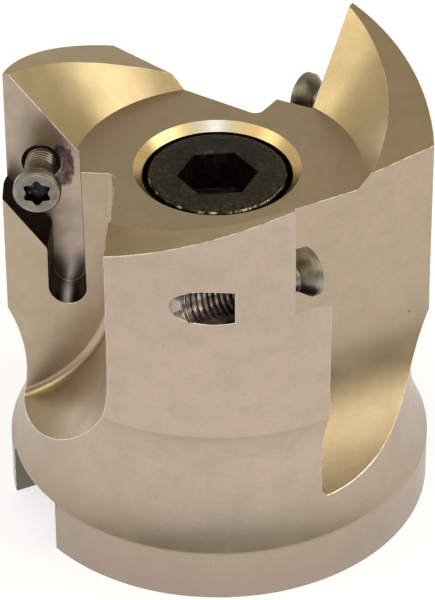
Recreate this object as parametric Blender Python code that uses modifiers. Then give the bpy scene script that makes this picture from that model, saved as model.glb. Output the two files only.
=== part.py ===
"""Shell face mill, 50 mm, three indexable teeth, with its insert screws and its arbor screw.

The mill stands on its back face: the origin is the centre of that face, and +Z runs along the
axis to the cutting end.  Each tooth is modelled once in its own frame, whose X runs outwards
along the insert seat, whose Y points the way the tooth cuts, and whose Z is the mill's axis.
"""
import math

import bmesh
import bpy
from mathutils import Matrix, Vector

MM = 0.001

# ---- driving dimensions, in millimetres and degrees ---------------------------------------
TOOTH_NAMES = ("a", "b", "c")
FIRST_TOOTH_AZIMUTH = 175.3

LAND_RADIUS = 25.0
LAND_BOTTOM = 24.1
NECK_RADIUS = 23.05
NECK_ARC_RADIUS = 20.0
FLANGE_RADIUS = 25.2
FLANGE_CHAMFER = 0.2

PILOT_RADIUS = 11.0
PILOT_DEPTH = 19.0
PILOT_CHAMFER = 0.8
SCREW_WAY_RADIUS = 5.5
SHOULDER_HEIGHT = 33.0
COUNTERBORE_RADIUS = 8.75
COUNTERBORE_MOUTH_RADIUS = 9.75
COUNTERBORE_CHAMFER_DEPTH = 1.0
FLOOR_HEIGHT = 44.0
FLOOR_RADIUS = 16.75
DISH_SLOPE = 1.33

KEYWAY_WIDTH = 12.0
KEYWAY_DEPTH = 6.8
KEYWAY_AZIMUTH = 25.5

SEAT_PLANE = -2.3
LEAD_PLANE = 2.2
TIP_HEIGHT = 54.3
RELIEF_BACK_SLOPE = 0.235
RELIEF_SIDE_SLOPE = 0.287
RELIEF_START = 4.0
RELIEF_END = -78.0
RELIEF_INNER_RADIUS = 13.0

GULLET_WALL = 11.65
GULLET_WALL_TURN = 2.2
GULLET_FLARE_RADIUS = 20.0
GULLET_FLARE_TOP = 29.3
GULLET_FILLET = 1.0

POCKET_SEAT_WALL = 16.05
POCKET_MOUTH_WALL = 15.5
POCKET_WALL_LEAN = 0.5
SLOT_SEAT_WIDTH = 3.7
SLOT_MOUTH_WIDTH = 4.4
SLOT_FLOOR = 25.15
POCKET_SEAT_FOOT = 33.9
POCKET_MOUTH_FOOT = 33.0
POCKET_SEAT_SLOPE = 1.17
POCKET_MOUTH_SLOPE = 1.33

SCREW_SEAT_RADIUS = 20.85
SCREW_HEIGHT = 42.1
SCREW_TILT = 2.5
SCREW_HOLE_RADIUS = 2.1
SCREW_HOLE_DEPTH = 11.2
SCREW_HOLE_TIP = 1.3
SCREW_HOLE_MOUTH_RADIUS = 2.4
SCREW_HOLE_MOUTH_DEPTH = 0.35
RELIEF_HOLE_RADIUS = 2.2
RELIEF_HOLE_OFFSET = 22.4
RELIEF_HOLE_HEIGHT = 42.1
RELIEF_HOLE_FLOOR = -8.9
RELIEF_HOLE_TILT = 4.4

SCREW_STANDOUT = {"a": 6.4, "b": 4.3, "c": 4.3}
SCREW_LENGTH = 9.0
SCREW_HEAD_RADIUS = 2.8
SCREW_HEAD_RIM = 0.55
SCREW_HEAD_EDGE = 0.25
SCREW_HEAD_CONE = 1.7
SCREW_NECK_RADIUS = 1.55
SCREW_NECK_LENGTH = 0.6
SCREW_THREAD_RADIUS = 1.85
SCREW_POINT = 0.4
STAR_RADIUS = 1.67
STAR_LOBE = 0.26
STAR_DEPTH = 1.3

ARBOR_HEAD_RADIUS = 8.15
ARBOR_HEAD_HEIGHT = 10.0
ARBOR_HEAD_CHAMFER = 0.4
ARBOR_SHANK_RADIUS = 5.0
ARBOR_SHANK_LENGTH = 30.0
ARBOR_POINT = 0.9
ARBOR_SOCKET_FLATS = 8.2
ARBOR_SOCKET_DEPTH = 5.2
ARBOR_SOCKET_TURN = 5.0

GAP = 0.3
OVERCUT = 8.0
ROUND_STEPS = 72
SMALL_STEPS = 24
WELD = 0.00001


# ---- helpers ------------------------------------------------------------------------------
def clear_scene():
    for item in list(bpy.data.objects):
        bpy.data.objects.remove(item, do_unlink=True)
    for group in list(bpy.data.collections):
        bpy.data.collections.remove(group)


def new_collection(name):
    group = bpy.data.collections.new(name)
    bpy.context.scene.collection.children.link(group)
    return group


def new_object(name, mesh, group, matrix=None):
    item = bpy.data.objects.new(name, mesh)
    group.objects.link(item)
    if matrix is not None:
        item.matrix_world = matrix
    return item


def new_cutter(name, mesh, matrix=None):
    cutter = new_object(name, mesh, cutters, matrix)
    cutter.hide_render = True
    cutter.display_type = "WIRE"
    return cutter


def give_material(solid, colour, metallic, roughness):
    material = bpy.data.materials.new(solid.name + "_metal")
    material.use_nodes = True
    shader = material.node_tree.nodes["Principled BSDF"]
    shader.inputs["Base Color"].default_value = (*colour, 1.0)
    shader.inputs["Metallic"].default_value = metallic
    shader.inputs["Roughness"].default_value = roughness
    slot_owner = solid.data
    slot_owner.materials.clear()
    slot_owner.materials.append(None)
    solid.material_slots[0].link = "OBJECT"
    solid.material_slots[0].material = material


def arc(centre_x, centre_y, radius, start, end, steps):
    """Points of an arc, both ends included; angles in degrees from +X towards +Y."""
    angles = [math.radians(start + (end - start) * step / steps) for step in range(steps + 1)]
    return [(centre_x + radius * math.cos(a), centre_y + radius * math.sin(a)) for a in angles]


def mesh_from(name, shape):
    mesh = bpy.data.meshes.new(name)
    shape.to_mesh(mesh)
    shape.free()
    return mesh


def profile_mesh(name, profile, closed):
    """Edges through (radius, height) points, ready for a Screw modifier."""
    shape = bmesh.new()
    corners = [shape.verts.new((radius * MM, 0.0, height * MM)) for radius, height in profile]
    for start, end in zip(corners, corners[1:]):
        shape.edges.new((start, end))
    if closed:
        shape.edges.new((corners[-1], corners[0]))
    return mesh_from(name, shape)


def turn_profile(solid, steps):
    screw = solid.modifiers.new("Turn", "SCREW")
    screw.steps = steps
    screw.render_steps = steps
    screw.use_smooth_shade = True
    screw.use_merge_vertices = True
    screw.merge_threshold = WELD


def prism_mesh(name, outline, low, high):
    """A closed (x, y) outline, filled and standing from low to high along Z."""
    curve = bpy.data.curves.new(name, "CURVE")
    curve.dimensions = "2D"
    curve.fill_mode = "BOTH"
    curve.extrude = (high - low) * MM / 2
    spline = curve.splines.new("POLY")
    spline.points.add(len(outline) - 1)
    for point, (x, y) in zip(spline.points, outline):
        point.co = (x * MM, y * MM, 0.0, 1.0)
    spline.use_cyclic_u = True
    holder = new_object(name, curve, bpy.context.scene.collection)
    graph = bpy.context.evaluated_depsgraph_get()
    filled = bpy.data.meshes.new_from_object(holder.evaluated_get(graph))
    bpy.data.objects.remove(holder)
    shape = bmesh.new()
    shape.from_mesh(filled)
    bmesh.ops.remove_doubles(shape, verts=shape.verts, dist=WELD)
    bmesh.ops.dissolve_limit(shape, angle_limit=math.radians(0.1), verts=shape.verts, edges=shape.edges)
    bmesh.ops.recalc_face_normals(shape, faces=shape.faces)
    bmesh.ops.translate(shape, verts=shape.verts, vec=(0.0, 0.0, (low + high) * MM / 2))
    bpy.data.meshes.remove(filled)
    return mesh_from(name, shape)


def rod_mesh(name, radius, low, high, steps, turn=0.0):
    """A cylinder, or a prism with few steps, along Z; turn is the azimuth of its first corner."""
    place = Matrix.Translation((0.0, 0.0, (low + high) * MM / 2))
    spin = Matrix.Rotation(math.radians(turn - 90.0), 4, "Z")
    shape = bmesh.new()
    bmesh.ops.create_cone(shape, cap_ends=True, segments=steps, radius1=radius * MM,
                          radius2=radius * MM, depth=(high - low) * MM, matrix=place @ spin)
    return mesh_from(name, shape)


def box_mesh(name, size, centre):
    shape = bmesh.new()
    bmesh.ops.create_cube(shape, size=MM)
    bmesh.ops.scale(shape, vec=size, verts=shape.verts)
    bmesh.ops.translate(shape, vec=Vector(centre) * MM, verts=shape.verts)
    return mesh_from(name, shape)


def cut(solid, cutter):
    boolean = solid.modifiers.new("Cut " + cutter.name, "BOOLEAN")
    boolean.operation = "DIFFERENCE"
    boolean.solver = "EXACT"
    boolean.object = cutter


def tooth_frame(index):
    azimuth = FIRST_TOOTH_AZIMUTH - index * 360.0 / len(TOOTH_NAMES)
    return Matrix.Rotation(math.radians(azimuth), 4, "Z")


def frame_along(point, direction):
    """A frame at a point in millimetres, with its Z along a direction."""
    turn = Vector(direction).to_track_quat("Z", "X").to_matrix().to_4x4()
    return Matrix.Translation(Vector(point) * MM) @ turn


# ---- the mill's blank ---------------------------------------------------------------------
def blank_profile():
    """Down the outside from the rim, then up through the bore, the counterbore and the dish."""
    centre_radius = NECK_RADIUS + NECK_ARC_RADIUS
    upper = math.degrees(math.acos((centre_radius - LAND_RADIUS) / NECK_ARC_RADIUS))
    lower = math.degrees(math.acos((centre_radius - FLANGE_RADIUS) / NECK_ARC_RADIUS))
    neck_height = LAND_BOTTOM - NECK_ARC_RADIUS * math.sin(math.radians(upper))
    rim_height = FLOOR_HEIGHT + DISH_SLOPE * (LAND_RADIUS - FLOOR_RADIUS)
    profile = [(LAND_RADIUS, rim_height)]
    profile += arc(centre_radius, neck_height, NECK_ARC_RADIUS, 180 - upper, 180 + lower, 10)
    profile += [(FLANGE_RADIUS, FLANGE_CHAMFER), (FLANGE_RADIUS - FLANGE_CHAMFER, 0.0)]
    profile += [(PILOT_RADIUS + PILOT_CHAMFER, 0.0), (PILOT_RADIUS, PILOT_CHAMFER)]
    profile += [(PILOT_RADIUS, PILOT_DEPTH), (SCREW_WAY_RADIUS, PILOT_DEPTH)]
    profile += [(SCREW_WAY_RADIUS, SHOULDER_HEIGHT), (COUNTERBORE_RADIUS, SHOULDER_HEIGHT)]
    profile += [(COUNTERBORE_RADIUS, FLOOR_HEIGHT - COUNTERBORE_CHAMFER_DEPTH)]
    profile += [(COUNTERBORE_MOUTH_RADIUS, FLOOR_HEIGHT), (FLOOR_RADIUS, FLOOR_HEIGHT)]
    return profile


# ---- what is cut for each tooth, in the tooth's frame ---------------------------------------
def relief_mesh():
    """Everything above the sloping top of one tooth, over that tooth's share of the rim."""
    outer = LAND_RADIUS + OVERCUT
    outline = arc(0.0, 0.0, outer, RELIEF_END, RELIEF_START, 8)
    outline += arc(0.0, 0.0, RELIEF_INNER_RADIUS, RELIEF_START, RELIEF_END, 8)
    mesh = prism_mesh("relief", outline, 0.0, OVERCUT * 2)
    tilt = Matrix.Identity(4)
    tilt[2][0] = RELIEF_SIDE_SLOPE
    tilt[2][1] = RELIEF_BACK_SLOPE
    tilt[2][3] = (TIP_HEIGHT - RELIEF_SIDE_SLOPE * LAND_RADIUS - RELIEF_BACK_SLOPE * SEAT_PLANE) * MM
    mesh.transform(tilt)
    return mesh


def gullet_mesh():
    """The chip space ahead of a tooth: an upright wall that flares outwards at its foot."""
    outer = LAND_RADIUS + OVERCUT
    top = TIP_HEIGHT + OVERCUT
    centre = GULLET_WALL + GULLET_FLARE_RADIUS
    outline = [(outer, top), (GULLET_WALL, top)]
    outline += arc(centre, GULLET_FLARE_TOP, GULLET_FLARE_RADIUS, 180, 270, 12)
    outline += [(outer, GULLET_FLARE_TOP - GULLET_FLARE_RADIUS)]
    mesh = prism_mesh("gullet", outline, -LEAD_PLANE - LAND_RADIUS - OVERCUT, -LEAD_PLANE)
    mesh.transform(Matrix.Rotation(math.radians(90), 4, "X"))
    lean = Matrix.Identity(4)
    lean[0][1] = -math.tan(math.radians(GULLET_WALL_TURN))
    lean[0][3] = -lean[0][1] * LEAD_PLANE * MM
    mesh.transform(lean)
    return mesh


def pocket_outline(wall, slot_width, foot, slope):
    """Seat wall, round-ended relief slot for the sharp corner, then the sloping outer wall."""
    outer = LAND_RADIUS + OVERCUT
    top = TIP_HEIGHT + OVERCUT
    half = slot_width / 2
    slot_side = wall + slot_width
    outline = [(wall + POCKET_WALL_LEAN, top)]
    outline += arc(wall + half, SLOT_FLOOR + half, half, 180, 360, 10)
    outline += [(slot_side, foot), (outer, foot + slope * (outer - slot_side)), (outer, top)]
    return outline


def pocket_mesh():
    """The insert pocket: its walls open out from the seat to the tooth's leading face."""
    seat = pocket_outline(POCKET_SEAT_WALL, SLOT_SEAT_WIDTH, POCKET_SEAT_FOOT, POCKET_SEAT_SLOPE)
    mouth = pocket_outline(POCKET_MOUTH_WALL, SLOT_MOUTH_WIDTH, POCKET_MOUTH_FOOT, POCKET_MOUTH_SLOPE)
    beyond = 1.2
    depth = (LEAD_PLANE - SEAT_PLANE) * beyond
    shape = bmesh.new()
    inner = [shape.verts.new((x * MM, SEAT_PLANE * MM, z * MM)) for x, z in seat]
    outer = []
    for (seat_x, seat_z), (mouth_x, mouth_z) in zip(seat, mouth):
        x = seat_x + (mouth_x - seat_x) * beyond
        z = seat_z + (mouth_z - seat_z) * beyond
        outer.append(shape.verts.new((x * MM, (SEAT_PLANE + depth) * MM, z * MM)))
    shape.faces.new(inner)
    shape.faces.new(reversed(outer))
    for index in range(len(inner)):
        after = (index + 1) % len(inner)
        shape.faces.new((inner[index], outer[index], outer[after], inner[after]))
    bmesh.ops.recalc_face_normals(shape, faces=shape.faces)
    return mesh_from("pocket", shape)


def screw_direction():
    tilt = math.radians(SCREW_TILT)
    return (-math.sin(tilt), math.cos(tilt), 0.0)


def screw_frame(standout):
    """Frame of an insert screw in its tooth, on its axis and standout millimetres off the seat."""
    seat = Vector((SCREW_SEAT_RADIUS, SEAT_PLANE, SCREW_HEIGHT))
    direction = Vector(screw_direction())
    return frame_along(seat + direction * standout, direction)


def screw_hole_profile():
    """Drilled hole with a countersunk mouth at the seat, which is height zero, and a pointed end."""
    return [
        (0.0, OVERCUT),
        (SCREW_HOLE_MOUTH_RADIUS, OVERCUT),
        (SCREW_HOLE_MOUTH_RADIUS, 0.0),
        (SCREW_HOLE_RADIUS, -SCREW_HOLE_MOUTH_DEPTH),
        (SCREW_HOLE_RADIUS, -SCREW_HOLE_DEPTH),
        (0.0, -SCREW_HOLE_DEPTH - SCREW_HOLE_TIP),
    ]


def relief_hole_frame():
    tilt = math.radians(RELIEF_HOLE_TILT)
    floor_centre = (RELIEF_HOLE_OFFSET, RELIEF_HOLE_FLOOR, RELIEF_HOLE_HEIGHT)
    return frame_along(floor_centre, (-math.sin(tilt), -math.cos(tilt), 0.0))


def make_body(material_colour):
    body = new_object("mill_body", profile_mesh("mill_body", blank_profile(), closed=True), parts)
    turn_profile(body, ROUND_STEPS)
    relief = relief_mesh()
    gullet = gullet_mesh()
    pocket = pocket_mesh()
    screw_hole = profile_mesh("screw_hole", screw_hole_profile(), closed=False)
    relief_hole = rod_mesh("relief_hole", RELIEF_HOLE_RADIUS, 0.0, LAND_RADIUS, SMALL_STEPS)
    for index, name in enumerate(TOOTH_NAMES):
        tooth = tooth_frame(index)
        cut(body, new_cutter("cut_relief_" + name, relief, tooth))
        gullet_cutter = new_cutter("cut_gullet_" + name, gullet, tooth)
        fillet = gullet_cutter.modifiers.new("Fillet", "BEVEL")
        fillet.width = GULLET_FILLET * MM
        fillet.segments = 4
        fillet.limit_method = "ANGLE"
        fillet.angle_limit = math.radians(60)
        cut(body, gullet_cutter)
        cut(body, new_cutter("cut_pocket_" + name, pocket, tooth))
        hole_cutter = new_cutter("cut_screw_hole_" + name, screw_hole, tooth @ screw_frame(0.0))
        turn_profile(hole_cutter, SMALL_STEPS)
        cut(body, hole_cutter)
        cut(body, new_cutter("cut_relief_hole_" + name, relief_hole, tooth @ relief_hole_frame()))
    keyway = box_mesh("keyway", (FLANGE_RADIUS * 3, KEYWAY_WIDTH, KEYWAY_DEPTH * 2), (0.0, 0.0, 0.0))
    cut(body, new_cutter("cut_keyway", keyway, Matrix.Rotation(math.radians(KEYWAY_AZIMUTH), 4, "Z")))
    give_material(body, material_colour, 1.0, 0.38)
    return body


# ---- the insert screws ----------------------------------------------------------------------
def insert_screw_profile():
    """Flat star-drive head on a cone, a waisted neck and the threaded end; the head's face is zero."""
    cone_end = -SCREW_HEAD_RIM - SCREW_HEAD_CONE
    thread_start = cone_end - SCREW_NECK_LENGTH
    relief = SCREW_THREAD_RADIUS - SCREW_NECK_RADIUS
    return [
        (0.0, 0.0),
        (SCREW_HEAD_RADIUS - SCREW_HEAD_EDGE, 0.0),
        (SCREW_HEAD_RADIUS, -SCREW_HEAD_EDGE),
        (SCREW_HEAD_RADIUS, -SCREW_HEAD_RIM),
        (SCREW_NECK_RADIUS, cone_end),
        (SCREW_NECK_RADIUS, thread_start),
        (SCREW_THREAD_RADIUS, thread_start - relief),
        (SCREW_THREAD_RADIUS, SCREW_POINT - SCREW_LENGTH),
        (SCREW_THREAD_RADIUS - SCREW_POINT, -SCREW_LENGTH),
        (0.0, -SCREW_LENGTH),
    ]


def star_outline():
    points = []
    for step in range(36):
        angle = math.radians(10 * step)
        radius = STAR_RADIUS * (1 - STAR_LOBE * (1 - math.cos(6 * angle)) / 2)
        points.append((radius * math.cos(angle), radius * math.sin(angle)))
    return points


def make_insert_screws():
    profile = profile_mesh("insert_screw", insert_screw_profile(), closed=False)
    star = prism_mesh("star", star_outline(), -STAR_DEPTH, 1.0)
    for index, name in enumerate(TOOTH_NAMES):
        place = tooth_frame(index) @ screw_frame(SCREW_STANDOUT[name])
        screw = new_object("insert_screw_" + name, profile.copy(), parts, place)
        turn_profile(screw, SMALL_STEPS)
        cut(screw, new_cutter("cut_star_" + name, star, place))
        give_material(screw, (0.36, 0.35, 0.34), 1.0, 0.32)


# ---- the arbor screw ------------------------------------------------------------------------
def arbor_screw_profile():
    """Socket head cap screw: its head's underside is zero and its shank points down."""
    return [
        (0.0, ARBOR_HEAD_HEIGHT),
        (ARBOR_HEAD_RADIUS - ARBOR_HEAD_CHAMFER, ARBOR_HEAD_HEIGHT),
        (ARBOR_HEAD_RADIUS, ARBOR_HEAD_HEIGHT - ARBOR_HEAD_CHAMFER),
        (ARBOR_HEAD_RADIUS, 0.0),
        (ARBOR_SHANK_RADIUS, 0.0),
        (ARBOR_SHANK_RADIUS, ARBOR_POINT - ARBOR_SHANK_LENGTH),
        (ARBOR_SHANK_RADIUS - ARBOR_POINT, -ARBOR_SHANK_LENGTH),
        (0.0, -ARBOR_SHANK_LENGTH),
    ]


def make_arbor_screw():
    place = Matrix.Translation((0.0, 0.0, (SHOULDER_HEIGHT + GAP) * MM))
    profile = profile_mesh("arbor_screw", arbor_screw_profile(), closed=False)
    screw = new_object("arbor_screw", profile, parts, place)
    turn_profile(screw, SMALL_STEPS * 2)
    socket_floor = ARBOR_HEAD_HEIGHT - ARBOR_SOCKET_DEPTH
    socket = rod_mesh("hex", ARBOR_SOCKET_FLATS / math.sqrt(3), socket_floor, ARBOR_HEAD_HEIGHT + 1.0, 6,
                      ARBOR_SOCKET_TURN)
    cut(screw, new_cutter("cut_hex", socket, place))
    give_material(screw, (0.02, 0.02, 0.022), 0.6, 0.4)


clear_scene()
parts = new_collection("face_mill")
cutters = new_collection("cutters")
make_body((0.62, 0.54, 0.42))
make_insert_screws()
make_arbor_screw()
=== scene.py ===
"""Looks of a 50 mm shell face mill: fine body, threaded screws, plated and blackened metal."""
import math

import bmesh
import bpy
from mathutils import Matrix, Vector


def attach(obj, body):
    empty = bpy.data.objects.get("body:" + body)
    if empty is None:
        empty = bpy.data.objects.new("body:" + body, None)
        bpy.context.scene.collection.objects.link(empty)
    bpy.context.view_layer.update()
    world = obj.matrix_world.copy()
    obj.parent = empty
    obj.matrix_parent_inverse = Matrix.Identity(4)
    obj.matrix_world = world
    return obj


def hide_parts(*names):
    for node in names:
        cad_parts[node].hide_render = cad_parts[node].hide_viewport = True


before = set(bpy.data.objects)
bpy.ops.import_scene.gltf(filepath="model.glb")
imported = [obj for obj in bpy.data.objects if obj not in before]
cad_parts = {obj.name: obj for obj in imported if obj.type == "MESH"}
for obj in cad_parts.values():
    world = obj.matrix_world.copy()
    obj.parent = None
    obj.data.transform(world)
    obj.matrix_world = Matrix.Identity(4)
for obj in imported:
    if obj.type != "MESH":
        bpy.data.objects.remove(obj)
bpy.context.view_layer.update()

MM = 0.001

# ---- dimensions shared with the CAD model, in millimetres and degrees ---------------------------
TOOTH_NAMES = ("a", "b", "c")
FIRST_TOOTH_AZIMUTH = 175.3

LAND_RADIUS = 25.0
LAND_BOTTOM = 24.1
NECK_RADIUS = 23.05
NECK_ARC_RADIUS = 20.0
FLANGE_RADIUS = 25.2
FLANGE_CHAMFER = 0.2

PILOT_RADIUS = 11.0
PILOT_DEPTH = 19.0
PILOT_CHAMFER = 0.8
SCREW_WAY_RADIUS = 5.5
SHOULDER_HEIGHT = 33.0
COUNTERBORE_RADIUS = 8.75
COUNTERBORE_MOUTH_RADIUS = 9.75
COUNTERBORE_CHAMFER_DEPTH = 1.0
FLOOR_HEIGHT = 44.0
FLOOR_RADIUS = 16.75
DISH_SLOPE = 1.33

KEYWAY_WIDTH = 12.0
KEYWAY_DEPTH = 6.8
KEYWAY_AZIMUTH = 25.5

# ahead of the tooth's radial plane
SEAT_PLANE = -2.3
LEAD_PLANE = 2.2

# height of the tooth's top at its front corner, and its fall backwards and inwards
TIP_HEIGHT = 54.3
RELIEF_BACK_SLOPE = 0.235
RELIEF_SIDE_SLOPE = 0.287
RELIEF_START = 4.0
RELIEF_END = -78.0
RELIEF_INNER_RADIUS = 13.0

GULLET_WALL = 11.65
GULLET_WALL_TURN = 2.2
GULLET_FLARE_RADIUS = 20.0
GULLET_FLARE_TOP = 29.3
GULLET_FILLET = 1.0

POCKET_SEAT_WALL = 16.05
POCKET_MOUTH_WALL = 15.38  # 0.12 mm less than in the CAD model, so that the wall shows
POCKET_WALL_LEAN = 0.5
SLOT_SEAT_WIDTH = 3.7
SLOT_MOUTH_WIDTH = 4.52  # wider by the same 0.12 mm
SLOT_FLOOR = 25.15
POCKET_SEAT_FOOT = 33.9
POCKET_MOUTH_FOOT = 33.0
POCKET_SEAT_SLOPE = 1.17
POCKET_MOUTH_SLOPE = 1.33
POCKET_CORNER = 1.0

SCREW_SEAT_RADIUS = 20.85
SCREW_HEIGHT = 42.1
SCREW_TILT = 2.5
SCREW_HOLE_RADIUS = 2.1
SCREW_HOLE_DEPTH = 11.2
SCREW_HOLE_TIP = 1.3
SCREW_HOLE_MOUTH_RADIUS = 2.4
SCREW_HOLE_MOUTH_DEPTH = 0.35
RELIEF_HOLE_RADIUS = 2.2
RELIEF_HOLE_OFFSET = 22.4
RELIEF_HOLE_HEIGHT = 42.1
RELIEF_HOLE_FLOOR = -8.9
RELIEF_HOLE_TILT = 4.4

SCREW_STANDOUT = {"a": 6.4, "b": 4.3, "c": 4.3}
SCREW_LENGTH = 9.0
SCREW_HEAD_RADIUS = 2.8
SCREW_SHANK_RADIUS = 1.7

ARBOR_HEAD_RADIUS = 8.15
ARBOR_HEAD_HEIGHT = 10.0
ARBOR_HEAD_GAP = 0.3
ARBOR_SHANK_RADIUS = 5.0
ARBOR_SHANK_LENGTH = 30.0
ARBOR_SOCKET_FLATS = 8.2
ARBOR_SOCKET_DEPTH = 5.2
ARBOR_SOCKET_TURN = 5.0

# ---- dimensions of the finer shapes, in millimetres and degrees ---------------------------------
THREAD_FLANK = 2.9  # rise of a flank, in thread depths per pitch

HOLE_THREAD_PITCH = 0.7
HOLE_THREAD_DEPTH = 0.11
HOLE_THREAD_LEAD_IN = 0.3
HOLE_THREAD_RUN_OUT = 0.2
HOLE_ROW_SPACING = 0.07

SCREW_THREAD_RADIUS = 1.81
SCREW_THREAD_PITCH = 0.5
SCREW_THREAD_START = 4.3
SCREW_END_CHAMFER = 0.45
SCREW_THREAD_FADE = 0.5
SCREW_ROW_SPACING = 0.045
SCREW_HEAD_ROUNDING = 0.25

STAR_RADIUS = 1.67
STAR_LOBES = 6
STAR_VALLEY = 0.26  # share of the radius
STAR_ROUNDNESS = 0.8
STAR_POINTS = 96
STAR_LEVELS = [(0.6, 1.06), (0.02, 1.05), (-0.08, 1.0), (-1.25, 0.97), (-1.45, 0.25)]

ARBOR_THREAD_PITCH = 1.5
ARBOR_THREAD_START = 8.0
ARBOR_THREAD_ROOT = 0.85
ARBOR_THREAD_DEPTH = 0.82
ARBOR_THREAD_FADE = 0.8
ARBOR_END_CHAMFER = 0.9
ARBOR_ROW_SPACING = 0.12
ARBOR_SOCKET_CHAMFER = 0.28
ARBOR_SOCKET_CONE = 1.1

OVERCUT = 8.0  # a cutter's reach past the solid
WELD_DISTANCE = 0.03
EDGE_BREAK = 0.085
ARBOR_EDGE_BREAK = 0.08
ARBOR_EDGE_ANGLE = 50
BODY_SHARP_ANGLE = 40
SCREW_SHARP_ANGLE = 42

# angles between faces and |z| of their normals that pick the edges to break, and their weights
SLOT_RIM_BEND = -24
CORNER_BEND = 48
TOP_FACE = 0.85
SIDE_FACE = 0.6
SLOT_RIM_WEIGHT = 0.5
TOP_WEIGHT = 1.0
CORNER_WEIGHT = 0.45

# steps round an arc or a full turn
BODY_STEPS = 288
NECK_STEPS = 40
RELIEF_STEPS = 8
FLARE_STEPS = 60
FILLET_STEPS = 8
SLOT_STEPS = 32
CORNER_STEPS = 8
HOLE_STEPS = 60
WINDOW_STEPS = 64
SCREW_STEPS = 64
ARBOR_STEPS = 96

# ---- material slots of the body, in this order on the body and on every cutter ------------------
(PLATED, FACED, MILLED, SEAT, BRIGHT, BORED,
 EDGE, WALL, SLOT, KEYED, THREADED, DISHED) = range(12)

# ---- plating, and the places of painted shade and highlights ------------------------------------
NICKEL = (0.495, 0.40, 0.328)
# depths of bumps, in millimetres
BLAST_GRAIN = 0.004
FINE_GRAIN = 0.003
TOOL_MARKS = 0.0012

# of the first tooth, in millimetres: outwards, ahead of the tooth, up
# a painted screw shadow, painted corner shade, a painted reflection and a painted slot highlight
SEAT_SCREW_SHADOW = (18.3, SEAT_PLANE, 41.6)
SLOT_SHADOWS = ((16.3, SEAT_PLANE, 27.3), (19.65, SEAT_PLANE, 27.3))
SLOT_SHEEN = (17.95, SEAT_PLANE, 27.0)
SLOT_HIGHLIGHT = (17.85, 1.0, 25.2)

# of the whole mill, in metres
# painted shade at the foot, a painted dark reflection on its front, a painted chamfer highlight
FOOT_SHADE_HEIGHTS = (0.002, 0.018)
FOOT_DARK_REFLECTION = (0.0008, -0.0238, 0.0088)
CHAMFER_HIGHLIGHT = (-0.0004, 0.0093, 0.0436)

# numbers of the Mix node's sockets that carry colours
MIX_FACTOR, MIX_FIRST, MIX_SECOND, MIX_RESULT = 0, 6, 7, 2


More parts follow.
